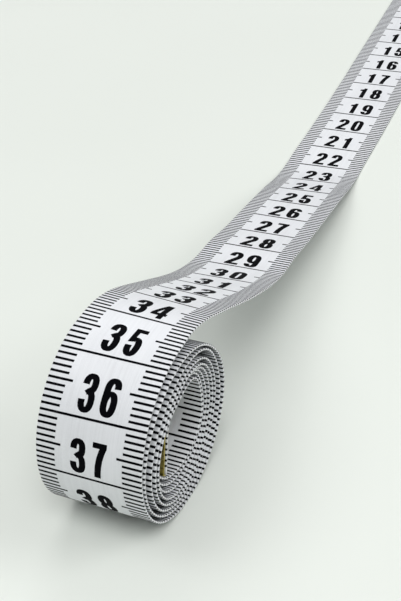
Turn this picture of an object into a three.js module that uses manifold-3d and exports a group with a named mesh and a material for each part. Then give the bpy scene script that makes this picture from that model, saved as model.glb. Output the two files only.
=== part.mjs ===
// A cloth tape measure, partly unwound: one long printed strip with a folded brass clip on each end.
// Most of the strip is wound into a loose roll that stands on its outermost turn. The rest leaves
// the top of the roll, comes down to the table and lies flat on it up to the zero end of the scale.
//
// Millimetres, +Z up, +X along the free stretch, away from the roll, +Y across the strip. The origin
// is the middle of the small flat, under the roll, on which the roll stands.

import * as THREE from 'three';
import { mergeVertices } from 'three/addons/utils/BufferGeometryUtils.js';
import Module from 'manifold-3d';

const wasm = await Module();
wasm.setup();

// The strip
const scaleLength = 914;      // from tip to tip, clips included
const tapeWidth = 18;
const tapeThickness = 0.4;

// The free stretch
const freeReading = 344;      // scale reading where the strip leaves the top of the roll
const descentRun = 118.5;     // along the table, from the roll's top to where the strip touches down
const sideSway = 0.85;        // widest sideways drift of the strip on its way down
const headingRun = 40;        // the strip turns from the roll's heading to +X within this run
const rollYaw = -4.5 * Math.PI / 180;
const topTwist = 1.4 * Math.PI / 180;
const twistFade = 30;         // wound length over which the twist at the roll's top dies out

// The roll
const rollRadius = 16.08;     // middle of the strip where it leaves the roll's top
const turnGap = 0.57;         // air between one turn and the next
const footDepth = 0.1;        // how far the outermost turn is flattened where the roll stands
// Within about one turn the strip settles into a smaller, slightly oval and lower winding
const settleTurnShare = 1.32;
const settleDepth = 1.26;     // how much smaller the turns get
const ovalDepth = 1;          // how much they widen, and how much height they lose
const sinkDepth = 1.68;       // how far their middle drops
// The turns lean out of the roll's end on one side and back in on the other
const turnLean = 0.8;
const turnSetBack = 1.2;      // how far the innermost turns sit back on the whole
const leanAzimuth = 166 * Math.PI / 180;
const leanTurnShare = 2;      // the lean has swung from the top to its own side after these turns
const windingStepShare = 1 / 720;

// The innermost stretch curls in through this angle and then runs straight through its clip
const curlAngle = 60 * Math.PI / 180;
const tipInset = 1.4;         // how far inside the last turn's oval the strip's tip lies

// The clips
const clipLength = 8;
const clipWall = 0.3;
const clipClearance = 0.15;   // between the strip and the brass
const clipSideMargin = 0.2;   // strip left bare on each side of the clip
const mouthFlare = 0.08;      // how far the clip's lips turn away from the strip
const mouthLength = 0.9;
const dentRadius = 0.8;       // of the crimping punch
const dentDepth = 0.14;
const dentInset = 3;          // from the clip's mouth
const dentCount = 4;
const clipRampLength = 25;    // the strip rises to the clip's mouth over this length

// Steps
const jointGap = 0.3;         // between the solids of the roll and of the free stretch
const rollStep = 1.3;
const curlStep = 0.8;
const freeStep = 3.5;

// Height of the free stretch on its way down, as shares of the run and of the drop
const descentShares = [
  [0, 1], [0.04, 0.992], [0.08, 0.956], [0.12, 0.897], [0.195, 0.767], [0.27, 0.635],
  [0.347, 0.51], [0.426, 0.41], [0.509, 0.361], [0.59, 0.294], [0.673, 0.24], [0.755, 0.185],
  [0.837, 0.122], [0.877, 0.081], [0.917, 0.043], [0.958, 0.015], [1, 0],
];
// Sideways drift and twist of the free stretch, as shares of the run and of the widest value
const swayShares = [
  [0, 0], [0.12, -0.6], [0.27, -1], [0.43, -0.4], [0.6, -0.25], [0.8, -0.1], [1, 0.8],
  [1.2, 0.25], [1.4, -0.05], [1.6, 0],
];
const twistShares = [
  [0, 1], [0.1, 2], [0.19, 1.6], [0.3, 1.35], [0.5, 0.9], [0.8, 0.4], [1, 0],
];
// Lean and set-back of the winding, at a number of turns from the top, as shares of the full value
const leanShares = [
  [0, 0.435], [1, 0], [2.5, 0.78], [4.2, 1.02], [5.3, 0.8], [6.3, 0.55], [7.3, 0.28], [8.3, 0],
];
const setBackShares = [
  [0, 0.29], [1, 0.27], [2.5, 0.32], [4.2, 0.3], [5.3, 0.61], [6.3, 0.87], [7.3, 1.03], [8.3, 0.96],
];

// Values that follow from the sizes above
const tipSetBack = clipWall + clipClearance;         // from the scale's end to the strip's own end
const clothEnd = scaleLength - tipSetBack;
const woundLength = clothEnd - freeReading;
const tailLength = clipLength - tipSetBack;          // the part of the strip held in the clip
const coreRadius = clipLength * 4 / 5;               // least room for the curled end in its clip
const pitch = Math.min(tapeThickness + turnGap, fullPitch());
const footUp = lowestUp() + footDepth;
const axleHeight = tapeThickness / 2 - footUp;
const rollTop = axleHeight + rollRadius;
const clipLift = clipWall + clipClearance;
const winding = windingTable();
const { turn: turns, length: spiralLength } = winding[winding.length - 1];
const curlRadius = curlRadiusAt(turns);
const curlLength = woundLength - tailLength - spiralLength;

// A smooth value between hand-picked places, level at both ends.
function smoothShare(table, place) {
  const last = table.length - 1;
  if (place <= table[0][0]) return table[0][1];
  if (place >= table[last][0]) return table[last][1];
  const slopes = table.map((_, k) => (k === 0 || k === last ? 0
    : (table[k + 1][1] - table[k - 1][1]) / (table[k + 1][0] - table[k - 1][0])));
  const k = table.findIndex((row) => row[0] > place) - 1;
  const span = table[k + 1][0] - table[k][0];
  const t = (place - table[k][0]) / span;
  const rise = t * t * (3 - 2 * t);
  return table[k][1] * (1 - rise) + table[k + 1][1] * rise
    + span * t * (1 - t) * ((1 - t) * slopes[k] - t * slopes[k + 1]);
}

function smoothStep(value) {
  const t = THREE.MathUtils.clamp(value, 0, 1);
  return t * t * (3 - 2 * t);
}

// Steps of about the given size that fill a length exactly.
function spread(from, to, step) {
  const count = Math.max(1, Math.ceil((to - from) / step));
  return Array.from({ length: count + 1 }, (_, k) => from + (to - from) * k / count);
}

// The pitch at which the turns fill the roll down to its core. A roll with less room than its gaps
// need is wound this much tighter.
function fullPitch() {
  return Math.PI * ((rollRadius - settleDepth) ** 2 - coreRadius ** 2) / woundLength;
}

// The winding's radius after some turns, before the oval and the drop.
function turnRadius(turn) {
  return rollRadius - pitch * turn - settleDepth * smoothStep(turn / settleTurnShare);
}

// The winding seen along the roll's axis: forward and up from the axle, after some turns.
function windingPoint(turn) {
  const settled = smoothStep(turn / settleTurnShare);
  const azimuth = Math.PI / 2 + 2 * Math.PI * turn;
  return {
    forward: (turnRadius(turn) + ovalDepth * settled) * Math.cos(azimuth),
    up: (turnRadius(turn) - ovalDepth * settled) * Math.sin(azimuth) - sinkDepth * settled,
    azimuth,
    turn,
  };
}

function lowestUp() {
  return Math.min(...spread(0, 1, windingStepShare).map((turn) => windingPoint(turn).up));
}

// The same, with the outermost turn flattened where the roll stands.
function spiralPoint(turn) {
  const point = windingPoint(turn);
  return { ...point, up: Math.max(point.up, footUp) };
}

// The radius of the curl that brings the tip of the straight run out to its own radius.
function curlRadiusAt(turn) {
  const last = turnRadius(turn);
  const fall = 1 - Math.cos(curlAngle);
  const reach = last * fall + tailLength * Math.sin(curlAngle);
  const tipAzimuth = windingPoint(turn).azimuth + curlAngle + Math.atan2(tailLength, last);
  const tipRadius = last + ovalDepth * Math.cos(2 * tipAzimuth) - tipInset;
  const spare = last ** 2 + tailLength ** 2 - tipRadius ** 2;
  return last - (reach - Math.sqrt(reach ** 2 - 2 * fall * spare)) / (2 * fall);
}

// The wound length at each small step of the winding, up to where the curl begins.
function windingTable() {
  const rows = [{ turn: 0, length: 0 }];
  for (let spare = woundLength; spare > 0;) {
    const last = rows[rows.length - 1];
    const turn = last.turn + windingStepShare;
    const [from, to] = [spiralPoint(last.turn), spiralPoint(turn)];
    const length = last.length + Math.hypot(to.forward - from.forward, to.up - from.up);
    spare = woundLength - tailLength - curlAngle * curlRadiusAt(turn) - length;
    rows.push({ turn, length });
  }
  return rows;
}

function turnAt(wound) {
  const k = Math.max(1, winding.findIndex((row) => row.length >= wound));
  const [before, after] = [winding[k - 1], winding[k]];
  return before.turn
    + (after.turn - before.turn) * (wound - before.length) / (after.length - before.length);
}

// The wound lengths at which the flattened foot begins and ends.
function footCorners() {
  const foot = winding.filter(({ turn }) => windingPoint(turn).up <= footUp);
  return [foot[0].length, foot[foot.length - 1].length];
}

// The innermost stretch: an arc that curls in from the last turn, then a straight run.
function innerPoint(along) {
  const start = windingPoint(turns);
  const before = windingPoint(turns - windingStepShare);
  const facing = Math.atan2(before.forward - start.forward, start.up - before.up);
  const curled = Math.min(along, curlLength) / curlRadius;
  const straight = Math.max(0, along - curlLength);
  const bearing = facing + curled;
  return {
    forward: start.forward + curlRadius * (Math.cos(bearing) - Math.cos(facing))
      - straight * Math.sin(bearing),
    up: start.up + curlRadius * (Math.sin(bearing) - Math.sin(facing)) + straight * Math.cos(bearing),
    azimuth: start.azimuth + curled,
    turn: turns + curled / (2 * Math.PI),
  };
}

// How far the strip stands out of the roll's end, towards -Y.
function standOut({ turn, azimuth }) {
  const swung = smoothStep(turn / leanTurnShare);
  const leanSide = Math.PI / 2 + (leanAzimuth - Math.PI / 2) * swung;
  return turnLean * smoothShare(leanShares, turn) * Math.cos(azimuth - leanSide)
    - turnSetBack * smoothShare(setBackShares, turn);
}

// A place on the wound strip: its middle, and the direction across it.
function rollStation(wound) {
  const inner = wound - spiralLength;
  const flat = inner > 0 ? innerPoint(inner) : spiralPoint(turnAt(wound));
  const forward = new THREE.Vector3(Math.cos(rollYaw), Math.sin(rollYaw), 0);
  const across = new THREE.Vector3(-Math.sin(rollYaw), Math.cos(rollYaw), 0);
  const middle = forward.clone().multiplyScalar(flat.forward)
    .addScaledVector(across, -standOut(flat));
  middle.z = axleHeight + flat.up;
  const twist = topTwist * Math.max(0, 1 - wound / twistFade) ** 2;
  const away = forward.multiplyScalar(Math.sin(flat.azimuth));
  away.z = -Math.cos(flat.azimuth);
  across.applyAxisAngle(away, twist);
  return { middle, across };
}

// A place on the free stretch, at a run along the table from below the roll's top.
function freeStation(run, ramp) {
  const drop = rollTop - tapeThickness / 2;
  const place = (distance) => new THREE.Vector3(
    distance,
    sideSway * smoothShare(swayShares, distance / descentRun),
    tapeThickness / 2 + drop * smoothShare(descentShares, distance / descentRun)
      + clipLift * smoothStep(1 - (ramp - distance) / clipRampLength),
  );
  const nudge = tapeThickness / 2;
  const away = place(run + nudge).sub(place(Math.max(0, run - nudge))).normalize();
  const near = smoothStep(1 - run / headingRun);
  const heading = Math.atan2(away.y, away.x) * (1 - near) + rollYaw * near;
  const across = new THREE.Vector3(-Math.sin(heading), Math.cos(heading), 0);
  across.applyAxisAngle(away, topTwist * smoothShare(twistShares, run / descentRun));
  return { middle: place(run), across };
}

// Where the free stretch ends, for the length of strip that lies outside the roll.
function freeRuns() {
  const length = (from, to) => {
    const points = spread(from, to, freeStep / 4).map((run) => freeStation(run, Infinity).middle);
    return points.slice(1).reduce((sum, point, k) => sum + point.distanceTo(points[k]), 0);
  };
  const settledRun = descentRun * swayShares[swayShares.length - 1][0];
  const clothFree = freeReading - tipSetBack;
  const end = settledRun + clothFree - length(0, settledRun);
  return { end, mouth: end - tailLength };
}

// A closed strip of the tape's section along a list of places.
function stripGeometry(stations) {
  const positions = [];
  const faces = [];
  stations.forEach(({ middle, across }, k) => {
    const before = stations[Math.max(0, k - 1)].middle;
    const after = stations[Math.min(stations.length - 1, k + 1)].middle;
    const along = after.clone().sub(before).normalize();
    const normal = new THREE.Vector3().crossVectors(along, across).normalize();
    for (const [side, face] of [[1, 1], [1, -1], [-1, -1], [-1, 1]]) {
      const corner = middle.clone()
        .addScaledVector(across, side * tapeWidth / 2)
        .addScaledVector(normal, face * tapeThickness / 2);
      positions.push(...corner.toArray());
    }
  });
  for (let k = 0; k < stations.length - 1; k += 1) {
    for (let corner = 0; corner < 4; corner += 1) {
      const a = 4 * k + corner;
      const b = 4 * k + (corner + 1) % 4;
      faces.push(a, b, a + 4, b, b + 4, a + 4);
    }
  }
  const end = 4 * (stations.length - 1);
  faces.push(0, 2, 1, 0, 3, 2, end, end + 1, end + 2, end, end + 2, end + 3);
  const geometry = new THREE.BufferGeometry();
  geometry.setAttribute('position', new THREE.Float32BufferAttribute(positions, 3));
  geometry.setIndex(faces);
  return facingOut(geometry);
}

// Turns a closed mesh's faces outward, whichever way it was wound.
function facingOut(geometry) {
  const position = geometry.getAttribute('position');
  const index = geometry.getIndex().array;
  const corners = [new THREE.Vector3(), new THREE.Vector3(), new THREE.Vector3()];
  let volume = 0;
  for (let k = 0; k < index.length; k += 3) {
    corners.forEach((corner, side) => corner.fromBufferAttribute(position, index[k + side]));
    volume += corners[0].dot(corners[1].clone().cross(corners[2]));
  }
  if (volume < 0) {
    for (let k = 0; k < index.length; k += 3) {
      [index[k + 1], index[k + 2]] = [index[k + 2], index[k + 1]];
    }
  }
  geometry.computeVertexNormals();
  return geometry;
}

function solid(geometry) {
  const bare = geometry.index ? geometry.toNonIndexed() : geometry.clone();
  bare.deleteAttribute('normal');
  bare.deleteAttribute('uv');
  const merged = mergeVertices(bare);
  return new wasm.Manifold(new wasm.Mesh({
    numProp: 3,
    vertProperties: merged.getAttribute('position').array,
    triVerts: new Uint32Array(merged.getIndex().array),
  }));
}

function geometryOf(manifold) {
  const mesh = manifold.getMesh();
  const geometry = new THREE.BufferGeometry();
  geometry.setAttribute('position', new THREE.Float32BufferAttribute(mesh.vertProperties, 3));
  geometry.setIndex(Array.from(mesh.triVerts));
  geometry.computeVertexNormals();
  return geometry;
}

// A clip: a strip of brass folded round the tape's end, with flared lips and a row of crimping
// dents on each cheek. It runs along +X from its mouth to its tip, and lies across Y.
function clipGeometry() {
  const inner = tapeThickness / 2 + clipClearance;
  const outer = inner + clipWall;
  const bend = clipLength - outer;
  const shape = new THREE.Shape();
  shape.moveTo(0, outer + mouthFlare);
  shape.lineTo(mouthLength, outer);
  shape.lineTo(bend, outer);
  shape.absarc(bend, 0, outer, Math.PI / 2, -Math.PI / 2, true);
  shape.lineTo(mouthLength, -outer);
  shape.lineTo(0, -outer - mouthFlare);
  shape.lineTo(0, -inner - mouthFlare);
  shape.lineTo(mouthLength, -inner);
  shape.lineTo(bend, -inner);
  shape.absarc(bend, 0, inner, -Math.PI / 2, Math.PI / 2, false);
  shape.lineTo(mouthLength, inner);
  shape.lineTo(0, inner + mouthFlare);
  const width = tapeWidth - 2 * clipSideMargin;
  const folded = new THREE.ExtrudeGeometry(shape, { depth: width, bevelEnabled: false, curveSegments: 6 });
  folded.translate(0, 0, -width / 2);
  folded.rotateX(Math.PI / 2);
  let clip = solid(folded);
  for (let k = 0; k < dentCount; k += 1) {
    for (const cheek of [1, -1]) {
      const dent = new THREE.SphereGeometry(dentRadius, 14, 8);
      dent.rotateX(Math.PI / 2);
      dent.translate(
        dentInset,
        width * ((k + 1 / 2) / dentCount - 1 / 2),
        cheek * (outer + dentRadius - dentDepth),
      );
      clip = clip.subtract(solid(dent));
    }
  }
  return geometryOf(clip);
}

// Puts a clip where the strip enters it: at the mouth, looking along the strip to its tip.
function clipOnto(name, mouth, tip) {
  const along = tip.middle.clone().sub(mouth.middle).normalize();
  const normal = new THREE.Vector3().crossVectors(along, mouth.across).normalize();
  const across = new THREE.Vector3().crossVectors(normal, along);
  const clip = new THREE.Mesh(clipGeometry(), brass);
  clip.name = name;
  clip.quaternion.setFromRotationMatrix(new THREE.Matrix4().makeBasis(along, across, normal));
  clip.position.copy(mouth.middle);
  return clip;
}

// The least gap between one turn and another, measured on points of the strip's two faces: each
// station's, and one halfway to the next.
function leastGap(stations, step) {
  const faceLines = [1, -1].map((face) => {
    const corners = stations.map(({ middle, across }, k) => {
      const before = stations[Math.max(0, k - 1)].middle;
      const after = stations[Math.min(stations.length - 1, k + 1)].middle;
      const normal = after.clone().sub(before).cross(across).normalize();
      return middle.clone().addScaledVector(normal, face * tapeThickness / 2);
    });
    return corners.flatMap((corner, k) => (k === 0 ? [corner]
      : [corners[k - 1].clone().lerp(corner, 1 / 2), corner]));
  });
  const forward = new THREE.Vector3(Math.cos(rollYaw), Math.sin(rollYaw), 0);
  const [outer, inner] = faceLines.map((line) => line.map((point) => [point.dot(forward), point.z]));
  const apart = Math.ceil(2 * Math.PI * curlRadius / step);
  let least = Infinity;
  for (let i = 0; i < outer.length; i += 1) {
    for (let j = i + apart; j < outer.length; j += 1) {
      for (const a of [outer[i], inner[i]]) {
        for (const b of [outer[j], inner[j]]) {
          least = Math.min(least, Math.hypot(a[0] - b[0], a[1] - b[1]));
        }
      }
    }
  }
  return least;
}

const cloth = new THREE.MeshStandardMaterial({ color: 0xeceef2, roughness: 0.5, metalness: 0 });
const brass = new THREE.MeshStandardMaterial({ color: 0xb08d3c, roughness: 0.3, metalness: 1 });

function makeRoll() {
  const corners = [jointGap / 2, ...footCorners(), spiralLength];
  const stations = [
    ...corners.slice(1).flatMap((to, k) => spread(corners[k], to, rollStep).slice(0, -1)),
    ...spread(spiralLength, spiralLength + curlLength, curlStep),
    woundLength,
  ].map(rollStation);
  const mesh = new THREE.Mesh(stripGeometry(stations), cloth);
  mesh.name = 'tape_roll';
  console.log(`${turns.toFixed(2)} turns, top ${(rollTop + tapeThickness / 2).toFixed(2)} mm high,`
    + ` least gap between turns ${leastGap(stations, rollStep).toFixed(3)} mm`);
  return mesh;
}

function makeFreeStretch(runs) {
  const settledRun = descentRun * swayShares[swayShares.length - 1][0];
  const rampStart = runs.mouth - clipRampLength;
  const stations = [
    ...spread(jointGap / 2, settledRun, freeStep),
    ...spread(rampStart, runs.mouth, freeStep),
    runs.end,
  ].map((run) => freeStation(run, runs.mouth));
  const mesh = new THREE.Mesh(stripGeometry(stations), cloth);
  mesh.name = 'tape_free_stretch';
  return mesh;
}

const runs = freeRuns();
const tapeMeasure = new THREE.Group();
tapeMeasure.add(
  makeRoll(),
  makeFreeStretch(runs),
  clipOnto('inner_end_clip', rollStation(spiralLength + curlLength), rollStation(woundLength)),
  clipOnto('zero_end_clip', freeStation(runs.mouth, runs.mouth), freeStation(runs.end, runs.mouth)),
);

export default tapeMeasure;
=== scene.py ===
# A cloth tape measure, partly unwound: the printed strip, its ink on both faces and its two clips.
# Lengths below are in millimetres, and places on the strip are given by the reading of its scale.
# MM turns them into Blender's metres at the end.

import math

import bmesh
import bpy
import numpy as np
from mathutils import Matrix, Vector


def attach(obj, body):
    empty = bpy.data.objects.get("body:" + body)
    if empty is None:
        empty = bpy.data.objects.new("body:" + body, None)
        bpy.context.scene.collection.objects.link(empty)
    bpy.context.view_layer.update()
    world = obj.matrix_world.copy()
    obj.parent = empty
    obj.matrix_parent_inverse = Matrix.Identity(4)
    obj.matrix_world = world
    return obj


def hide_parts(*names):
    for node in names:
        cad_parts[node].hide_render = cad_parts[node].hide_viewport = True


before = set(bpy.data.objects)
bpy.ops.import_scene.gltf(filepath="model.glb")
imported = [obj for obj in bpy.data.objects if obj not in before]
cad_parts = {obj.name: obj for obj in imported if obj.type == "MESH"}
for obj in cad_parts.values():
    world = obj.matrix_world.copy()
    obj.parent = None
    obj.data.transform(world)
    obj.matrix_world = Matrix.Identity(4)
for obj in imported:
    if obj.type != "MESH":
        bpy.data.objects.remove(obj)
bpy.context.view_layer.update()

MM = 0.001

# The strip, as the solids have it
SCALE_LENGTH = 914.0
TAPE_WIDTH = 18.0
TAPE_THICKNESS = 0.4
FREE_READING = 344.0
DESCENT_RUN = 118.5
SIDE_SWAY = 0.85
HEADING_RUN = 40.0
ROLL_YAW = math.radians(-4.5)
TOP_TWIST = math.radians(1.4)
TWIST_FADE = 30.0

# The roll, as the solids have it
ROLL_RADIUS = 16.08
TURN_GAP = 0.57
FOOT_DEPTH = 0.1
SETTLE_TURNS = 1.32
SETTLE_DEPTH = 1.26
OVAL_DEPTH = 1.0
SINK_DEPTH = 1.68
TURN_LEAN = 0.8
TURN_SET_BACK = 1.2
LEAN_AZIMUTH = math.radians(166)
LEAN_TURNS = 2.0
WINDING_STEP = 1 / 720
CURL_ANGLE = math.radians(60)
TIP_INSET = 1.4

# The clips, as the solids have them
CLIP_LENGTH = 8.0
CLIP_WALL = 0.3
CLIP_CLEARANCE = 0.15
CLIP_SIDE_MARGIN = 0.2
CLIP_RAMP_LENGTH = 25.0
MOUTH_FLARE = 0.08
MOUTH_LENGTH = 0.9

# Height of the free stretch on its way down, its drift and its twist, as shares of the run and of
# the full value
DESCENT_SHARES = [
    (0, 1), (0.04, 0.992), (0.08, 0.956), (0.12, 0.897), (0.195, 0.767), (0.27, 0.635),
    (0.347, 0.51), (0.426, 0.41), (0.509, 0.361), (0.59, 0.294), (0.673, 0.24), (0.755, 0.185),
    (0.837, 0.122), (0.877, 0.081), (0.917, 0.043), (0.958, 0.015), (1, 0),
]
SWAY_SHARES = [
    (0, 0), (0.12, -0.6), (0.27, -1), (0.43, -0.4), (0.6, -0.25), (0.8, -0.1), (1, 0.8),
    (1.2, 0.25), (1.4, -0.05), (1.6, 0),
]
TWIST_SHARES = [(0, 1), (0.1, 2), (0.19, 1.6), (0.3, 1.35), (0.5, 0.9), (0.8, 0.4), (1, 0)]
# Lean and set-back of the winding, at a number of turns from the roll's top
LEAN_SHARES = [
    (0, 0.435), (1, 0), (2.5, 0.78), (4.2, 1.02), (5.3, 0.8), (6.3, 0.55), (7.3, 0.28), (8.3, 0),
]
SET_BACK_SHARES = [
    (0, 0.29), (1, 0.27), (2.5, 0.32), (4.2, 0.3), (5.3, 0.61), (6.3, 0.87), (7.3, 1.03), (8.3, 0.96),
]

# The inner turns of the real roll are pressed up and back, by this much at each turn, against the
# turn outside them. The solids leave this out.
PRESS_AZIMUTH = math.radians(57)
PRESS_BEFORE = math.radians(56)
PRESS_AFTER = math.radians(90)
PRESSED = [
    (1, 0), (1.9, 1.2), (2.9, 0.65), (3.9, 0.65), (4.9, 1.0), (5.9, 1.45), (6.9, 1.9), (7.9, 2.1),
    (8.07, 0),
]
# The same turns sit back on the side that faces the camera, and nearer the end they come out again
SUNK_AZIMUTH = math.radians(150)
SUNK = [(4.6, 0), (5.4, 0.2), (6.3, 0.45), (7.2, 0.55), (7.9, 0.35), (8.1, 0)]

# On top of the roll the second turn lies out towards the outermost one, by this much at each turn,
# and stands out of the roll's end by a share of that.
HUGGED = [(0.85, 0), (1.06, 2.2), (1.14, 1.8), (1.2, 1.0), (1.26, 0.4), (1.36, 0)]
HUG_STAND_OUT = 0.3

# The printed lines run a little askew on the first turn, by this much per millimetre across at each
# reading
SKEW = [(335, 0), (343, -0.012), (350, 0.014), (360, 0.024), (370, 0.01), (385, 0)]

# Values that follow from the sizes above
PITCH = TAPE_THICKNESS + TURN_GAP
TIP_SET_BACK = CLIP_WALL + CLIP_CLEARANCE
CLOTH_END = SCALE_LENGTH - TIP_SET_BACK
WOUND_LENGTH = CLOTH_END - FREE_READING
TAIL_LENGTH = CLIP_LENGTH - TIP_SET_BACK

# The mesh of the strip
PATH_STEP = 0.05
PATH_SMOOTHING = 1.1
ROLL_STEP = 0.6
FREE_STEP = 1.2
ACROSS_STEPS = 12
EDGE_STEPS = 3
EDGE_ROUNDING = 0.12

# The print. The ink lies on the strip and a little way into it.
CENTIMETRE = 10
HALF_CENTIMETRE = 5
INK_LIFT = 0.022
INK_DEPTH = 0.03
TICK_STROKE = 0.38
TICK_LENGTH = 3.25
HALF_TICK_LENGTH = 4.25
LINE_POINTS = 4
DIGIT_WIDTH = 2.65
DIGIT_HEIGHT = 6.0
DIGIT_SPACING = 1.05
DIGIT_BASE_GAP = 0.6
DIGIT_SIDE_SHIFT = 0.1
DIGIT_SLICE = 0.75
STEM_STROKE = 1.08
ARM_STROKE = 0.88
ARC_FULLNESS = 2.35

# The dents and the groove that the crimping tool leaves in the brass, and the clips' mesh
DENT_COUNT = 9
DENT_RADIUS = 0.62
DENT_DEPTH = 0.12
DENT_INSET = 3.0
GROOVE_INSET = 5.6
GROOVE_WIDTH = 0.22
GROOVE_DEPTH = 0.05
CHEEK_START = 1.2
CHEEK_END_GAP = 0.2
CHEEK_POINTS = 27
FOLD_POINTS = 8
CLIP_COLUMNS = 89
CLIP_EDGE_ROUNDING = 0.05
CLIP_EDGE_ANGLE = math.radians(50)

# Colours of each material, as places on a noise and the linear colour there
CLOTH_COLOURS = [
    (0.32, (0.66, 0.674, 0.7)), (0.5, (0.71, 0.727, 0.755)), (0.68, (0.75, 0.767, 0.795)),
]
CUT_EDGE_COLOURS = [
    (0.3, (0.6, 0.61, 0.63)), (0.55, (0.78, 0.79, 0.8)), (0.75, (0.86, 0.865, 0.87)),
]
INK_COLOURS = [
    (0.25, (0.001, 0.001, 0.002)), (0.6, (0.002, 0.002, 0.003)), (0.8, (0.007, 0.007, 0.008)),
]
# The brass stops are darker and more olive than the brass's own colour. This is painted shade, for the
# inner clip lying in shade inside the roll. The noise between the stops varies the tarnish.
BRASS_COLOURS = [
    (0.3, (0.13, 0.1, 0.02)), (0.5, (0.38, 0.31, 0.08)), (0.7, (0.62, 0.52, 0.2)),
]
FLOOR_COLOURS = [(0.3, (0.7, 0.735, 0.69)), (0.7, (0.735, 0.77, 0.725))]

# The cloth's noises, as lumps per millimetre along and across the strip, and its threads per
# millimetre. The relief of each is a share of the bump's distance.
STREAK_STRETCH = (0.05, 2.4, 1)
BLOTCH_STRETCH = (0.12, 0.25, 1)
GRAIN_SCALE = 6.0
THREADS_ALONG = 1.9
THREADS_ACROSS = 2.2
BLOTCH_SHARE = 0.35
STREAK_RELIEF = 0.8
GRAIN_RELIEF = 0.4
WEAVE_RELIEF = 0.3

# The brass's fine scratches, per metre in each direction
SCRATCH_STRETCH = (900, 9000, 900)

# The floor and the lamps, in metres and watts. Each lamp has a name, a place, a width and a power.
FLOOR_HALF = 3.0
FLOOR_DROP = 0.04 * MM
LAMP_AIM = Vector((0.05, 0, 0))
LAMPS = [
    ("ceiling_panel", Vector((0.1, 0, 1.2)), 1.4, 3.0),
    ("front_panel", Vector((-0.6, -0.24, 1.06)), 0.7, 7.0),
    ("left_panel", Vector((-0.22, 0.62, 1.06)), 0.7, 2.8),
    ("right_panel", Vector((0.33, -0.94, 0.72)), 0.7, 4.6),
    ("back_panel", Vector((0.9, 0.35, 0.75)), 0.7, 2.8),
]
ROOM_LIGHT = 0.24

# The camera, matched to the photograph
CAMERA_PLACE = Vector((-147.44, -67.85, 143.34))
CAMERA_AIM = Vector((56.02, 9.68, 0))
CAMERA_TILT = math.radians(-2.31)
CAMERA_LENS = 76.54
CAMERA_SENSOR = 36.0


# Shape of the strip

def smooth_step(value):
    t = np.clip(value, 0, 1)
    return t * t * (3 - 2 * t)


def smooth_share(table, place):
    """A smooth value between listed places, level at both ends."""
    places, values = np.array(table, float).T
    slopes = np.zeros(len(places))
    slopes[1:-1] = (values[2:] - values[:-2]) / (places[2:] - places[:-2])
    k = np.clip(np.searchsorted(places, place, side="right") - 1, 0, len(places) - 2)
    span = places[k + 1] - places[k]
    t = np.clip((place - places[k]) / span, 0, 1)
    rise = t * t * (3 - 2 * t)
    ease = span * t * (1 - t) * ((1 - t) * slopes[k] - t * slopes[k + 1])
    return values[k] * (1 - rise) + values[k + 1] * rise + ease


def turn_radius(turn):
    """The winding's radius after some turns, before the oval and the drop."""
    return ROLL_RADIUS - PITCH * turn - SETTLE_DEPTH * smooth_step(turn / SETTLE_TURNS)


def winding_section(turn):
    """Forward and up from the roll's axle, and azimuth, after some turns of the winding."""
    settled = smooth_step(turn / SETTLE_TURNS)
    azimuth = math.pi / 2 + 2 * math.pi * turn
    forward = (turn_radius(turn) + OVAL_DEPTH * settled) * np.cos(azimuth)
    up = (turn_radius(turn) - OVAL_DEPTH * settled) * np.sin(azimuth) - SINK_DEPTH * settled
    return forward, up, azimuth


def pressed(turn, azimuth):
    """How far a place on the winding is pressed towards the roll's upper back."""
    off = np.remainder(azimuth - PRESS_AZIMUTH + math.pi, 2 * math.pi) - math.pi
    reach = np.where(off < 0, PRESS_BEFORE, PRESS_AFTER)
    share = np.cos(np.clip(off / reach, -1, 1) * math.pi / 2) ** 2
    return smooth_share(PRESSED, turn) * share


FOOT_UP = float(winding_section(np.arange(0, 1, WINDING_STEP))[1].min()) + FOOT_DEPTH
AXLE_HEIGHT = TAPE_THICKNESS / 2 - FOOT_UP
ROLL_TOP = AXLE_HEIGHT + ROLL_RADIUS


def curl_radius_at(turn):
    """The radius of the curl that brings the tip of the straight run out to its own radius."""
    last = turn_radius(turn)
    fall = 1 - math.cos(CURL_ANGLE)
    reach = last * fall + TAIL_LENGTH * math.sin(CURL_ANGLE)
    tip_azimuth = winding_section(turn)[2] + CURL_ANGLE + np.arctan2(TAIL_LENGTH, last)
    tip_radius = last + OVAL_DEPTH * np.cos(2 * tip_azimuth) - TIP_INSET
    spare = last ** 2 + TAIL_LENGTH ** 2 - tip_radius ** 2
    return last - (reach - np.sqrt(reach ** 2 - 2 * fall * spare)) / (2 * fall)


def wound_table():
    """Turns of the winding and the lengths wound on by then, up to where the curl begins."""
    most_turns = WOUND_LENGTH / (2 * math.pi * CLIP_LENGTH)
    turn = np.arange(0, most_turns, WINDING_STEP)
    forward, up, _ = winding_section(turn)
    steps = np.hypot(np.diff(forward), np.diff(np.maximum(up, FOOT_UP)))
    length = np.concatenate([[0], np.cumsum(steps)])
    spare = WOUND_LENGTH - TAIL_LENGTH - CURL_ANGLE * curl_radius_at(turn) - length
    count = int(np.argmax(spare <= 0)) + 1
    return turn[:count], length[:count]


WOUND_TURNS, WOUND_LENGTHS = wound_table()
TURNS, SPIRAL_LENGTH = WOUND_TURNS[-1], WOUND_LENGTHS[-1]
CURL_RADIUS = float(curl_radius_at(TURNS))
CURL_LENGTH = WOUND_LENGTH - TAIL_LENGTH - SPIRAL_LENGTH


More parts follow.
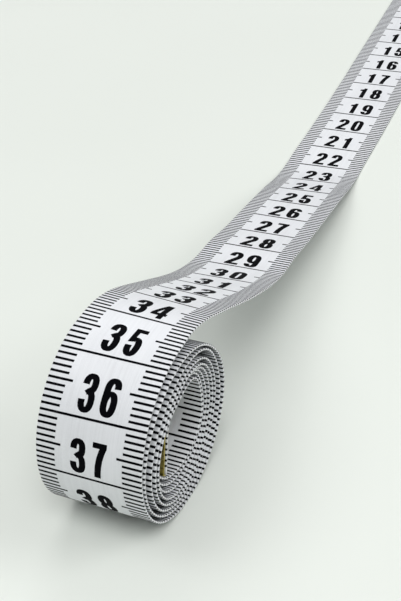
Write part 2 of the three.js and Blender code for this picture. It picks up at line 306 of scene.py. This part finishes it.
def curl_section(inner):
    """The same for the innermost stretch: it curls in and then runs straight through its clip."""
    forward, up, azimuth = winding_section(np.array([TURNS - WINDING_STEP, TURNS]))
    facing = math.atan2(forward[0] - forward[1], up[1] - up[0])
    curled = np.clip(inner, 0, CURL_LENGTH) / CURL_RADIUS
    straight = np.maximum(0, inner - CURL_LENGTH)
    bearing = facing + curled
    return (
        forward[1] + CURL_RADIUS * (np.cos(bearing) - math.cos(facing)) - straight * np.sin(bearing),
        up[1] + CURL_RADIUS * (np.sin(bearing) - math.sin(facing)) + straight * np.cos(bearing),
        azimuth[1] + curled,
    )


def wound_section(wound):
    """Forward and up from the axle, azimuth and turns, at lengths wound on from the roll's top."""
    turn = np.interp(wound, WOUND_LENGTHS, WOUND_TURNS)
    forward, up, azimuth = winding_section(turn)
    press, hug = pressed(turn, azimuth), smooth_share(HUGGED, turn)
    forward = forward + press * math.cos(PRESS_AZIMUTH) + hug * np.cos(azimuth)
    up = np.maximum(up, FOOT_UP) + press * math.sin(PRESS_AZIMUTH) + hug * np.sin(azimuth)
    inner = wound - SPIRAL_LENGTH
    curl_forward, curl_up, curl_azimuth = curl_section(inner)
    return (
        np.where(inner > 0, curl_forward, forward),
        np.where(inner > 0, curl_up, up),
        np.where(inner > 0, curl_azimuth, azimuth),
        np.where(inner > 0, (curl_azimuth / math.pi - 0.5) / 2, turn),
    )


def stand_out(turn, azimuth):
    """How far the strip stands out of the roll's end, towards -Y."""
    swung = smooth_step(turn / LEAN_TURNS)
    lean_side = math.pi / 2 + (LEAN_AZIMUTH - math.pi / 2) * swung
    lean = TURN_LEAN * smooth_share(LEAN_SHARES, turn) * np.cos(azimuth - lean_side)
    sunk = smooth_share(SUNK, turn) * (1 + np.cos(azimuth - SUNK_AZIMUTH)) / 2
    out = HUG_STAND_OUT * smooth_share(HUGGED, turn) - sunk
    return lean - TURN_SET_BACK * smooth_share(SET_BACK_SHARES, turn) + out


def turned(vectors, axes, angles):
    """Vectors turned about unit axes."""
    cosine, sine = np.cos(angles)[:, None], np.sin(angles)[:, None]
    along = axes * (axes * vectors).sum(1)[:, None]
    return vectors * cosine + np.cross(axes, vectors) * sine + along * (1 - cosine)


def wound_stations(wound):
    """Middles of the wound strip, and the directions across it."""
    section_forward, up, azimuth, turn = wound_section(wound)
    out = stand_out(turn, azimuth)
    forward = np.array([math.cos(ROLL_YAW), math.sin(ROLL_YAW), 0])
    across = np.array([-math.sin(ROLL_YAW), math.cos(ROLL_YAW), 0])
    middles = section_forward[:, None] * forward - out[:, None] * across
    middles[:, 2] = AXLE_HEIGHT + up
    away = forward * np.sin(azimuth)[:, None]
    away[:, 2] = -np.cos(azimuth)
    twist = TOP_TWIST * np.maximum(0, 1 - wound / TWIST_FADE) ** 2
    return middles, turned(np.tile(across, (len(wound), 1)), away, twist)


def free_middles(run, mouth):
    """Middles of the free stretch, which rises a little up to the clip's mouth."""
    drop = ROLL_TOP - TAPE_THICKNESS / 2
    lift = TIP_SET_BACK * smooth_step(1 - (mouth - run) / CLIP_RAMP_LENGTH)
    height = TAPE_THICKNESS / 2 + drop * smooth_share(DESCENT_SHARES, run / DESCENT_RUN) + lift
    return np.stack([run, SIDE_SWAY * smooth_share(SWAY_SHARES, run / DESCENT_RUN), height], 1)


def free_stations(run, mouth):
    """Middles of the free stretch, and the directions across it."""
    nudge = TAPE_THICKNESS / 2
    away = free_middles(run + nudge, mouth) - free_middles(np.maximum(0, run - nudge), mouth)
    away /= np.linalg.norm(away, axis=1)[:, None]
    near = smooth_step(1 - run / HEADING_RUN)
    heading = np.arctan2(away[:, 1], away[:, 0]) * (1 - near) + ROLL_YAW * near
    across = np.stack([-np.sin(heading), np.cos(heading), np.zeros(len(run))], 1)
    twist = TOP_TWIST * smooth_share(TWIST_SHARES, run / DESCENT_RUN)
    return free_middles(run, mouth), turned(across, away, twist)


def smoothed(rows, window):
    """Rows averaged over a window, with the ends carried on straight."""
    half = window // 2
    before = 2 * rows[0] - rows[half:0:-1]
    after = 2 * rows[-1] - rows[-2:-half - 2:-1]
    padded = np.concatenate([before, rows, after])
    kernel = np.ones(2 * half + 1) / (2 * half + 1)
    return np.stack([np.convolve(padded[:, k], kernel, mode="valid") for k in range(3)], 1)


def lengths_along(points):
    """The length of the line up to each of its points."""
    steps = np.linalg.norm(np.diff(points, axis=0), axis=1)
    return np.concatenate([[0], np.cumsum(steps)])


def free_path():
    """Readings of the scale, middles and directions across, from the free tip up to the roll."""
    run = np.arange(0, FREE_READING + CLIP_RAMP_LENGTH, PATH_STEP)
    flat_on = free_middles(run, math.inf)
    length = lengths_along(flat_on)
    end = float(np.interp(FREE_READING - TIP_SET_BACK, length, run))
    kept = run <= end
    middles, across = free_stations(run[kept], end - TAIL_LENGTH)
    return (FREE_READING - length[kept])[::-1], middles[::-1], across[::-1]


def wound_path():
    """The same for the wound part. The pressed turns run a little longer than the winding that they
    come from, and the readings share this out over the turns inside the first."""
    wound = np.arange(PATH_STEP, WOUND_LENGTH + PATH_STEP / 2, PATH_STEP)
    middles, across = wound_stations(wound)
    length = wound[0] + lengths_along(middles)
    shared_out = smooth_step((wound - 2 * math.pi * ROLL_RADIUS) / (WOUND_LENGTH / 2))
    length -= (length[-1] - WOUND_LENGTH) * shared_out
    return FREE_READING + length, middles, across


class Strip:
    """The strip's middle surface, and places on it, above it and below it."""

    def __init__(self):
        parts = zip(free_path(), wound_path())
        self.readings, middles, across = (np.concatenate(pair) for pair in parts)
        self.middles = smoothed(middles, round(PATH_SMOOTHING / PATH_STEP))
        self.across = across / np.linalg.norm(across, axis=1)[:, None]
        along = np.gradient(self.middles, axis=0)
        normals = np.cross(self.across, along)
        self.normals = normals / np.linalg.norm(normals, axis=1)[:, None]
        self.first, self.last = self.readings[0], self.readings[-1]

    def at(self, rows, reading):
        """Rows of the path, such as its middles, between their own readings."""
        return np.stack([np.interp(reading, self.readings, rows[:, k]) for k in range(3)], 1)

    def place(self, reading, across, lift):
        """Points at readings of the scale, across the strip and above its middle, in metres."""
        reading = np.asarray(reading, float)
        reading = reading + smooth_share(SKEW, reading) * np.asarray(across, float)
        points = self.at(self.middles, reading)
        points += self.at(self.across, reading) * np.asarray(across, float)[:, None]
        points += self.at(self.normals, reading) * np.asarray(lift, float)[:, None]
        return points * MM


strip = Strip()


# Meshes

def new_object(name, points, faces, materials, smooth=True):
    """An object in the scene, from points in metres."""
    mesh = bpy.data.meshes.new(name)
    mesh.from_pydata([tuple(p) for p in points], [], faces)
    mesh.validate()
    for material in materials:
        mesh.materials.append(material)
    if smooth:
        mesh.shade_smooth()
    piece = bpy.data.objects.new(name, mesh)
    bpy.context.scene.collection.objects.link(piece)
    return piece


def rounded_edge(lift):
    """The rounded edge of the strip's face, from the face out to the cut, at a height above it."""
    half, top = TAPE_WIDTH / 2, TAPE_THICKNESS / 2
    centre = (half - EDGE_ROUNDING, top - EDGE_ROUNDING)
    radius = EDGE_ROUNDING + lift
    return [(centre[0] + radius * math.sin(a), centre[1] + radius * math.cos(a))
            for a in np.linspace(0, math.pi / 2, EDGE_STEPS + 1)]


def strip_section():
    """Points across the strip and above its middle, once round it from the left of the face."""
    edge = rounded_edge(0)
    inset = TAPE_WIDTH / 2 - EDGE_ROUNDING
    face = [(a, TAPE_THICKNESS / 2) for a in np.linspace(inset, -inset, ACROSS_STEPS + 1)[1:-1]]
    front = edge[::-1] + face + [(-a, h) for a, h in edge]
    return np.array(front + [(a, -h) for a, h in reversed(front)])


def strip_faces(rows, columns):
    """Faces round the strip between its sections, and a cap on each end."""
    faces = []
    for row in range(rows - 1):
        for column in range(columns):
            a, b = row * columns + column, row * columns + (column + 1) % columns
            faces.append((a, b, b + columns, a + columns))
    first_cap = tuple(range(columns - 1, -1, -1))
    last_cap = tuple(range((rows - 1) * columns, rows * columns))
    return faces + [first_cap, last_cap]


def show_cut_edges(mesh, rows, columns):
    """Gives the second material to the strip's two cut sides and to its ends."""
    edge_columns = {columns // 2 - 1, columns - 1}
    for face in mesh.polygons:
        if face.index >= (rows - 1) * columns or face.index % columns in edge_columns:
            face.material_index = 1


def map_strip(mesh, readings, section):
    """Maps the strip flat, as shares of its length and its width."""
    columns = len(section)
    layer = mesh.uv_layers.new(name="strip")
    flat = np.zeros((len(mesh.loops), 2))
    for loop in mesh.loops:
        row, column = divmod(loop.vertex_index, columns)
        across = section[column][0] / TAPE_WIDTH + 0.5
        flat[loop.index] = (readings[row] / SCALE_LENGTH, across)
    layer.data.foreach_set("uv", flat.ravel())


def make_strip(cloth, cut_edge):
    section = strip_section()
    free = np.arange(strip.first, FREE_READING - FREE_STEP / 2, FREE_STEP)
    wound = np.arange(FREE_READING, strip.last - ROLL_STEP / 2, ROLL_STEP)
    readings = np.concatenate([free, wound, [strip.last]])
    rows, columns = len(readings), len(section)
    points = strip.place(
        np.repeat(readings, columns),
        np.tile(section[:, 0], rows),
        np.tile(section[:, 1], rows),
    )
    tape = new_object("printed_strip", points, strip_faces(rows, columns), [cloth, cut_edge])
    show_cut_edges(tape.data, rows, columns)
    map_strip(tape.data, readings, section)
    return tape


# Print

def prism_faces(count):
    """Faces of a closed bar between two rings of the same number of points, where each ring is a
    band: its first half runs out along the band's outside, its second half back along the inside."""
    sides = [(k, (k + 1) % count, (k + 1) % count + count, k + count) for k in range(count)]
    half = count // 2
    near = [(k + 1, k, count - 1 - k, count - 2 - k) for k in range(half - 1)]
    far = [tuple(corner + count for corner in reversed(face)) for face in near]
    return sides + near + far


def face_band(outer, inner, face):
    """A thin bar of ink on one face, between two places across the strip."""
    top = TAPE_THICKNESS / 2
    across = np.linspace(outer, inner, LINE_POINTS)
    outside = [(a, face * (top + INK_LIFT)) for a in across]
    inside = [(a, face * (top - INK_DEPTH)) for a in across[::-1]]
    return np.array(outside + inside)


def tick_band(length, side, face):
    """A tick on one face: from its inner end to the strip's edge and round the edge's rounding."""
    start = (TAPE_WIDTH / 2 - length, TAPE_THICKNESS / 2)
    outside = [(start[0], start[1] + INK_LIFT)] + rounded_edge(INK_LIFT)
    inside = [(start[0], start[1] - INK_DEPTH)] + rounded_edge(-INK_DEPTH)
    return np.array(outside + inside[::-1]) * (side, face)


class Ink:
    """Gathers printed forms as rows of reading, across and lift, and lays them on the strip."""

    def __init__(self):
        self.rows, self.faces, self.count = [], [], 0

    def add(self, rows, faces, mirrored=False):
        self.rows.append(rows)
        if mirrored:
            faces = [tuple(reversed(face)) for face in faces]
        self.faces += [tuple(corner + self.count for corner in face) for face in faces]
        self.count += len(rows)

    def add_bar(self, reading, profile, mirrored):
        """A tick or a line, from its band across the strip."""
        rows = np.zeros((2 * len(profile), 3))
        rows[:, 1:] = np.tile(profile, (2, 1))
        rows[:len(profile), 0] = reading - TICK_STROKE / 2
        rows[len(profile):, 0] = reading + TICK_STROKE / 2
        self.add(rows, prism_faces(len(profile)), mirrored)

    def laid(self, name, material):
        rows = np.concatenate(self.rows)
        return new_object(name, strip.place(*rows.T), self.faces, [material], smooth=False)


def make_scale(ink_material):
    """A tick on each side at every millimetre, and a line right across at every centimetre."""
    ink = Ink()
    middle = TAPE_WIDTH / 2 - TICK_LENGTH + TICK_STROKE
    for reading in range(1, round(SCALE_LENGTH)):
        if not strip.first + 1 < reading < strip.last - 1:
            continue
        length = HALF_TICK_LENGTH if reading % HALF_CENTIMETRE == 0 else TICK_LENGTH
        for face in (1, -1):
            for side in (1, -1):
                ink.add_bar(reading, tick_band(length, side, face), side * face < 0)
            if reading % CENTIMETRE == 0:
                ink.add_bar(reading, face_band(middle, -middle, face), face < 0)
    return ink.laid("scale_marks", ink_material)


# Digits, drawn as strokes in a cell that is one digit wide and high, in millimetres from its lower
# left corner

def arc(centre, radii, start, end, steps=14):
    """Points on a slightly squared ellipse, from one angle to another in degrees."""
    points = []
    for k in range(steps + 1):
        angle = math.radians(start + (end - start) * k / steps)
        cosine, sine = math.cos(angle), math.sin(angle)
        points.append((
            centre[0] + radii[0] * math.copysign(abs(cosine) ** (2 / ARC_FULLNESS), cosine),
            centre[1] + radii[1] * math.copysign(abs(sine) ** (2 / ARC_FULLNESS), sine),
        ))
    return points


def stroke_outline(path, closed):
    """Left and right borders of a stroke, wider where it runs upright than where it lies."""
    points = np.array(path)
    if closed:
        ahead, behind = np.roll(points, -1, axis=0), np.roll(points, 1, axis=0)
        along = ahead - behind
    else:
        along = np.gradient(points, axis=0)
    along /= np.linalg.norm(along, axis=1)[:, None]
    upright = np.abs(along[:, 1:2])
    half = (ARM_STROKE + (STEM_STROKE - ARM_STROKE) * upright) / 2
    normal = np.stack([-along[:, 1], along[:, 0]], 1)
    return points + normal * half, points - normal * half


def digit_forms():
    """For each digit, its closed strokes as pairs of borders and its plain polygons."""
    width, height = DIGIT_WIDTH, DIGIT_HEIGHT
    stem, arm = STEM_STROKE / 2, ARM_STROKE / 2
    middle = width / 2
    reach = middle - stem
    end_radius, upper_radius, lower_radius, bowl_radius = 1.25, 1.17, 1.37, 1.54
    top = (middle, height - arm - end_radius)
    bottom = (middle, arm + end_radius)
    upper = (middle, height - arm - upper_radius)
    lower = (middle, arm + lower_radius)
    bowl_height, waist = 1.98, 3.14
    bowl = (middle, bowl_height)

    zero = arc(top, (reach, end_radius), 180, 0) + arc(bottom, (reach, end_radius), 0, -180)
    two = arc(top, (reach, end_radius), 186, -28) + [(1.42, 2.45), (0.86, 1.35), (0.6, 0.5)]
    three_top = arc(upper, (reach - 0.04, upper_radius), 184, -90) + [(middle - 0.3, waist + 0.42)]
    three_bottom = [(middle - 0.3, waist)] + arc(lower, (reach, lower_radius), 90, -184)
    five_bowl = arc((middle - 0.06, bowl_height), (reach - 0.06, bowl_radius), 128, -184)
    six_loop = arc(bowl, (reach, bowl_radius), 180, -180, steps=28)[:-1]
    six_hook = [(stem, bowl_height), (stem, 3.2)] + arc(top, (reach, end_radius), 180, 2)
    eight_top = arc(upper, (reach - 0.08, upper_radius), 180, -180, steps=28)[:-1]
    eight_bottom = arc(lower, (reach, lower_radius), 180, -180, steps=28)[:-1]
    seven = [(1.9, 5.4), (1.6, 4.5), (1.3, 3.3), (1.1, 2.0), (1.0, 0.8), (0.98, 0.0)]

    def turned_round(path):
        return [(width - x, height - y) for x, y in path]

    foot = [(0, 0), (width - 0.03, 0), (width - 0.03, 2 * arm), (0, 2 * arm)]
    head = [(0.06, height - 2 * arm), (2.42, height - 2 * arm), (2.42, height), (0.06, height)]
    return {
        "0": ([(zero, True)], []),
        "1": ([], [[
            (1.02, 0), (2.12, 0), (2.12, height), (1.38, height), (1.22, 5.5), (0.92, 5.2),
            (0.42, 5.04), (0.42, 4.22), (1.02, 4.22),
        ]]),
        "2": ([(two, False)], [foot]),
        "3": ([(three_top, False), (three_bottom, False)], []),
        "4": ([], [
            [(1.42, 0), (2.36, 0), (2.36, height), (1.42, height)],
            [(0, 1.22), (width + 0.06, 1.22), (width + 0.06, 2.06), (0, 2.06)],
            [(0, 1.3), (0.84, 1.3), (0.84, 2.1), (1.66, 5.0), (1.66, height), (1.28, height), (0, 2.06)],
        ]),
        "5": ([(five_bowl, False)], [
            [(0.32, height - 2 * arm), (width - 0.3, height - 2 * arm), (width - 0.3, height),
             (0.32, height)],
            [(0.08, 2.72), (0.96, 2.9), (1.2, height), (0.32, height)],
        ]),
        "6": ([(six_loop, True), (six_hook, False)], []),
        "7": ([(seven, False)], [head]),
        "8": ([(eight_top, True), (eight_bottom, True)], []),
        "9": ([(turned_round(six_loop), True), (turned_round(six_hook), False)], []),
    }


def slab(outline, hole=None):
    """A closed flat solid from an outline, with a hole of as many points where there is one."""
    mesh = bmesh.new()
    levels = (-INK_DEPTH, INK_LIFT)
    rings = [[[mesh.verts.new((x, y, z)) for x, y in ring] for z in levels]
             for ring in (outline, hole) if ring is not None]
    for low, high in rings:
        for k in range(len(low)):
            after = (k + 1) % len(low)
            mesh.faces.new((low[k], low[after], high[after], high[k]))
    if hole is None:
        mesh.faces.new(rings[0][0])
        mesh.faces.new(rings[0][1])
    else:
        for level in (0, 1):
            outer, inner = rings[0][level], rings[1][level]
            for k in range(len(outer)):
                after = (k + 1) % len(outer)
                mesh.faces.new((outer[k], outer[after], inner[after], inner[k]))
    bmesh.ops.recalc_face_normals(mesh, faces=mesh.faces)
    return mesh


def joined(slabs, name):
    """One closed mesh from overlapping slabs."""
    objects = []
    for part in slabs:
        mesh = bpy.data.meshes.new(name)
        part.to_mesh(mesh)
        part.free()
        thing = bpy.data.objects.new(name, mesh)
        bpy.context.scene.collection.objects.link(thing)
        objects.append(thing)
    whole = objects[0]
    for other in objects[1:]:
        union = whole.modifiers.new("union", "BOOLEAN")
        union.operation = "UNION"
        union.solver = "EXACT"
        union.object = other
    graph = bpy.context.evaluated_depsgraph_get()
    result = bmesh.new()
    result.from_object(whole, graph)
    for thing in objects:
        mesh = thing.data
        bpy.data.objects.remove(thing)
        bpy.data.meshes.remove(mesh)
    return result


def digit_template(forms):
    """A digit's points and faces, sliced so that it can follow the strip's curve."""
    strokes, polygons = forms
    slabs = []
    for path, closed in strokes:
        left, right = stroke_outline(path, closed)
        if closed:
            slabs.append(slab([tuple(p) for p in left], [tuple(p) for p in right]))
        else:
            slabs.append(slab([tuple(p) for p in left] + [tuple(p) for p in right[::-1]]))
    slabs += [slab(polygon) for polygon in polygons]
    mesh = joined(slabs, "digit")
    for level in np.arange(DIGIT_SLICE, DIGIT_HEIGHT, DIGIT_SLICE):
        geometry = mesh.verts[:] + mesh.edges[:] + mesh.faces[:]
        bmesh.ops.bisect_plane(mesh, geom=geometry, plane_co=(0, level, 0), plane_no=(0, 1, 0))
    mesh.verts.index_update()
    points = np.array([tuple(v.co) for v in mesh.verts])
    faces = [tuple(v.index for v in face.verts) for face in mesh.faces]
    mesh.free()
    return points, faces


def make_numbers(ink_material):
    """A number before each centimetre's line. The back counts from the other end."""
    templates = {digit: digit_template(forms) for digit, forms in digit_forms().items()}
    ink = Ink()
    for number in range(1, round(SCALE_LENGTH / CENTIMETRE)):
        text = str(number)
        line = number * CENTIMETRE
        span = len(text) * DIGIT_WIDTH + (len(text) - 1) * DIGIT_SPACING
        for k, digit in enumerate(text):
            points, faces = templates[digit]
            right = points[:, 0] + k * (DIGIT_WIDTH + DIGIT_SPACING) - span / 2 + DIGIT_SIDE_SHIFT
            up = points[:, 1] + DIGIT_BASE_GAP + TICK_STROKE / 2
            top = TAPE_THICKNESS / 2 + points[:, 2]
            on_face = np.stack([line - up, -right, top], 1)
            on_back = np.stack([SCALE_LENGTH - line + up, -right, -top], 1)
            ink.add(on_face, faces)
            ink.add(on_back, faces)
    return ink.laid("scale_numbers", ink_material)


# Clips

def clip_profile(inset):
    """The clip's fold from its upper lip round the tip to its lower lip, as place and height."""
    reach = TAPE_THICKNESS / 2 + CLIP_CLEARANCE + inset
    bend = CLIP_LENGTH - (TAPE_THICKNESS / 2 + CLIP_CLEARANCE + CLIP_WALL)
    lip = [
        (0, reach + MOUTH_FLARE),
        (MOUTH_LENGTH / 3, reach + MOUTH_FLARE * 5 / 8),
        (MOUTH_LENGTH, reach),
    ]
    cheek = [(x, reach) for x in np.linspace(CHEEK_START, bend - CHEEK_END_GAP, CHEEK_POINTS)]
    fold = [(bend + reach * math.cos(a), reach * math.sin(a))
            for a in np.linspace(math.pi / 2, 0, FOLD_POINTS)]
    upper = lip + cheek + fold
    return upper + [(x, -h) for x, h in reversed(upper[:-1])]


def press_marks(along, across):
    """How deep the crimping tool has pressed the brass: a row of small round dents, and a groove."""
    half = TAPE_WIDTH / 2 - CLIP_SIDE_MARGIN
    deepest = 0.0
    for k in range(DENT_COUNT):
        centre = half * (2 * (k + 0.5) / DENT_COUNT - 1)
        distance = math.hypot(along - DENT_INSET, across - centre) / DENT_RADIUS
        deepest = max(deepest, DENT_DEPTH * max(0.0, 1 - distance ** 2))
    groove = GROOVE_DEPTH * math.exp(-((along - GROOVE_INSET) / GROOVE_WIDTH) ** 2)
    return deepest + groove


def clip_points():
    """Points of the clip, column by column across it, each the outer profile and then the inner."""
    outer, inner = clip_profile(CLIP_WALL), clip_profile(0)
    half = TAPE_WIDTH / 2 - CLIP_SIDE_MARGIN
    points = []
    for across in np.linspace(-half, half, CLIP_COLUMNS):
        for along, height in outer:
            sunk = press_marks(along, across) if abs(height) > TAPE_THICKNESS else 0
            points.append((along, across, height - math.copysign(sunk, height)))
        points += [(along, across, height) for along, height in inner]
    return np.array(points)


def clip_faces(count):
    """Faces between the clip's columns, for profiles of so many points, and on its two sides."""
    faces = []
    last = count - 1
    for j in range(CLIP_COLUMNS - 1):
        a, b = 2 * count * j, 2 * count * (j + 1)
        for k in range(last):
            faces.append((a + k, a + k + 1, b + k + 1, b + k))
            faces.append((b + count + k, b + count + k + 1, a + count + k + 1, a + count + k))
        faces.append((b, b + count, a + count, a))
        faces.append((a + last, a + count + last, b + count + last, b + last))
    for j, flip in ((0, True), (CLIP_COLUMNS - 1, False)):
        a = 2 * count * j
        for k in range(last):
            face = (a + k, a + k + 1, a + count + k + 1, a + count + k)
            faces.append(tuple(reversed(face)) if flip else face)
    return faces


def place_on_strip(mouth, tip):
    """The move that carries a clip to the strip, with its mouth and its fold at two readings."""
    start, end = (Vector(strip.at(strip.middles, np.array([r]))[0]) for r in (mouth, tip))
    side = Vector(strip.at(strip.across, np.array([mouth]))[0])
    along = (end - start).normalized()
    normal = along.cross(side).normalized()
    across = normal.cross(along)
    turn = Matrix((along, across, normal)).transposed().to_4x4()
    return Matrix.Translation(start * MM) @ turn


def make_clip(name, mouth, tip, brass):
    faces = clip_faces(len(clip_profile(0)))
    clip = new_object(name, clip_points() * MM, faces, [brass])
    rounding = clip.modifiers.new("edges", "BEVEL")
    rounding.width = CLIP_EDGE_ROUNDING * MM
    rounding.segments = 2
    rounding.limit_method = "ANGLE"
    rounding.angle_limit = CLIP_EDGE_ANGLE
    clip.data.transform(place_on_strip(mouth, tip))
    return clip


# Materials

class Shader:
    """A small helper for node materials."""

    def __init__(self, name):
        self.material = bpy.data.materials.new(name)
        self.material.use_nodes = True
        self.tree = self.material.node_tree
        self.surface = self.tree.nodes["Principled BSDF"]

    def node(self, kind, **values):
        node = self.tree.nodes.new(kind)
        for key, value in values.items():
            setattr(node, key, value)
        return node

    def link(self, source, target):
        self.tree.links.new(source, target)

    def noise(self, vector, scale, detail, roughness):
        noise = self.node("ShaderNodeTexNoise")
        noise.inputs["Scale"].default_value = scale
        noise.inputs["Detail"].default_value = detail
        noise.inputs["Roughness"].default_value = roughness
        self.link(vector, noise.inputs["Vector"])
        return noise.outputs["Fac"]

    def object_place(self):
        """Places on the object itself, in metres."""
        return self.node("ShaderNodeTexCoord").outputs["Object"]

    def stretched(self, source, scale):
        mapping = self.node("ShaderNodeMapping")
        mapping.inputs["Scale"].default_value = scale
        self.link(source, mapping.inputs["Vector"])
        return mapping.outputs["Vector"]

    def ramp(self, factor, stops):
        ramp = self.node("ShaderNodeValToRGB")
        elements = ramp.color_ramp.elements
        while len(elements) < len(stops):
            elements.new(0.5)
        for element, (place, colour) in zip(elements, stops):
            element.position = place
            element.color = (*colour, 1)
        self.link(factor, ramp.inputs["Fac"])
        return ramp.outputs["Color"]

    def colour(self, factor, stops):
        """The surface's colour, from a noise and its stops."""
        self.link(self.ramp(factor, stops), self.surface.inputs["Base Color"])

    def roughness(self, factor, start, end):
        """The surface's roughness, from one value to another as a noise rises."""
        spread = self.node("ShaderNodeMapRange")
        spread.inputs["To Min"].default_value = start
        spread.inputs["To Max"].default_value = end
        self.link(factor, spread.inputs["Value"])
        self.link(spread.outputs["Result"], self.surface.inputs["Roughness"])

    def maths(self, operation, first, second=None, third=None):
        node = self.node("ShaderNodeMath", operation=operation)
        for socket, value in zip(node.inputs, (first, second, third)):
            if value is None:
                continue
            if isinstance(value, (int, float)):
                socket.default_value = value
            else:
                self.link(value, socket)
        return node.outputs["Value"]

    def bump(self, height, strength, distance):
        """Relief from a height, with its distance in millimetres."""
        bump = self.node("ShaderNodeBump")
        bump.inputs["Strength"].default_value = strength
        bump.inputs["Distance"].default_value = distance * MM
        self.link(height, bump.inputs["Height"])
        self.link(bump.outputs["Normal"], self.surface.inputs["Normal"])


def strip_coordinates(shader):
    """Millimetres along and across the strip, from its own map."""
    uv = shader.node("ShaderNodeUVMap", uv_map="strip")
    return shader.stretched(uv.outputs["UV"], (SCALE_LENGTH, TAPE_WIDTH, 1))


def woven(shader, place):
    """A plain weave under the coating, as a height: threads along the strip over threads across."""
    axes = shader.node("ShaderNodeSeparateXYZ")
    shader.link(place, axes.inputs["Vector"])
    threads = []
    for axis, per_mm in (("X", THREADS_ALONG), ("Y", THREADS_ACROSS)):
        phase = shader.maths("MULTIPLY", axes.outputs[axis], 2 * math.pi * per_mm)
        threads.append(shader.maths("SINE", phase))
    return shader.maths("MULTIPLY", threads[0], threads[1])


def cloth_material():
    shader = Shader("coated_cloth")
    place = strip_coordinates(shader)
    along, broad = (shader.stretched(place, stretch) for stretch in (STREAK_STRETCH, BLOTCH_STRETCH))
    streaks = shader.noise(along, scale=1.0, detail=4.0, roughness=0.6)
    blotches = shader.noise(broad, scale=1.0, detail=2.0, roughness=0.5)
    mixed = shader.maths("MULTIPLY", streaks, 1 - BLOTCH_SHARE)
    mixed = shader.maths("MULTIPLY_ADD", blotches, BLOTCH_SHARE, mixed)
    shader.colour(mixed, CLOTH_COLOURS)
    shader.roughness(streaks, start=0.36, end=0.52)
    grain = shader.noise(place, scale=GRAIN_SCALE, detail=2.0, roughness=0.6)
    relief = shader.maths("MULTIPLY", woven(shader, place), WEAVE_RELIEF)
    relief = shader.maths("MULTIPLY_ADD", grain, GRAIN_RELIEF, relief)
    relief = shader.maths("MULTIPLY_ADD", streaks, STREAK_RELIEF, relief)
    shader.bump(relief, strength=0.5, distance=0.04)
    return shader.material


def cut_edge_material():
    shader = Shader("cut_edge")
    fibres = shader.noise(shader.object_place(), scale=2600.0, detail=4.0, roughness=0.7)
    shader.colour(fibres, CUT_EDGE_COLOURS)
    shader.surface.inputs["Roughness"].default_value = 0.8
    shader.bump(fibres, strength=0.6, distance=0.05)
    return shader.material


def ink_material():
    shader = Shader("printing_ink")
    mottle = shader.noise(shader.object_place(), scale=1400.0, detail=4.0, roughness=0.65)
    shader.colour(mottle, INK_COLOURS)
    shader.surface.inputs["Specular IOR Level"].default_value = 0.02
    shader.roughness(mottle, start=0.5, end=0.7)
    return shader.material


def brass_material():
    shader = Shader("pressed_brass")
    shader.surface.inputs["Metallic"].default_value = 1.0
    place = shader.object_place()
    tarnish_and_painted_shade = shader.noise(place, scale=420.0, detail=5.0, roughness=0.6)
    # Colour comes from the darkened brass stops: painted shade over the tarnish that the noise varies.
    shader.colour(tarnish_and_painted_shade, BRASS_COLOURS)
    shader.roughness(tarnish_and_painted_shade, start=0.38, end=0.2)
    lengthwise = shader.stretched(place, SCRATCH_STRETCH)
    scratches = shader.noise(lengthwise, scale=1.0, detail=3.0, roughness=0.6)
    shader.bump(scratches, strength=0.25, distance=0.03)
    return shader.material


# Surroundings

def make_floor():
    shader = Shader("pale_floor")
    cloudy = shader.noise(shader.object_place(), scale=6.0, detail=2.0, roughness=0.5)
    shader.colour(cloudy, FLOOR_COLOURS)
    shader.surface.inputs["Roughness"].default_value = 0.7
    sides = ((-1, -1), (1, -1), (1, 1), (-1, 1))
    corners = [(x * FLOOR_HALF, y * FLOOR_HALF, -FLOOR_DROP) for x, y in sides]
    floor = new_object("floor", corners, [(0, 1, 2, 3)], [shader.material], smooth=False)


def make_lamp(name, place, size, power):
    lamp = bpy.data.lights.new(name, "AREA")
    lamp.shape = "DISK"
    lamp.size = size
    lamp.energy = power
    thing = bpy.data.objects.new(name, lamp)
    thing.location = place
    thing.rotation_mode = "QUATERNION"
    thing.rotation_quaternion = (LAMP_AIM - place).to_track_quat("-Z", "Y")
    bpy.context.scene.collection.objects.link(thing)


def make_lights():
    for lamp in LAMPS:
        make_lamp(*lamp)
    world = bpy.data.worlds.new("room")
    world.use_nodes = True
    back = world.node_tree.nodes["Background"]
    back.inputs["Color"].default_value = (1, 1, 1, 1)
    back.inputs["Strength"].default_value = ROOM_LIGHT
    bpy.context.scene.world = world


def make_camera():
    data = bpy.data.cameras.new("camera")
    data.sensor_width = CAMERA_SENSOR
    data.lens = CAMERA_LENS
    data.clip_start, data.clip_end = 0.01, 10
    camera = bpy.data.objects.new("camera", data)
    facing = (CAMERA_AIM - CAMERA_PLACE).to_track_quat("-Z", "Y").to_matrix().to_4x4()
    tilt = Matrix.Rotation(CAMERA_TILT, 4, "Z")
    camera.matrix_world = Matrix.Translation(CAMERA_PLACE * MM) @ facing @ tilt
    bpy.context.scene.collection.objects.link(camera)
    bpy.context.scene.camera = camera


def make_tape_measure():
    ink = ink_material()
    brass = brass_material()
    tape = make_strip(cloth_material(), cut_edge_material())
    marks = make_scale(ink)
    numbers = make_numbers(ink)
    inner_clip = make_clip("inner_clip", CLOTH_END - TAIL_LENGTH, CLOTH_END, brass)
    zero_clip = make_clip("zero_clip", CLIP_LENGTH, TIP_SET_BACK, brass)
    for piece in (tape, marks, numbers):
        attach(piece, "root")
    for clip, node in ((inner_clip, "inner_end_clip"), (zero_clip, "zero_end_clip")):
        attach(clip, "root")
        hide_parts(node)
    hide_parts("tape_roll", "tape_free_stretch")


make_camera()
make_tape_measure()
make_floor()
make_lights()
bpy.context.scene.view_settings.view_transform = "Standard"
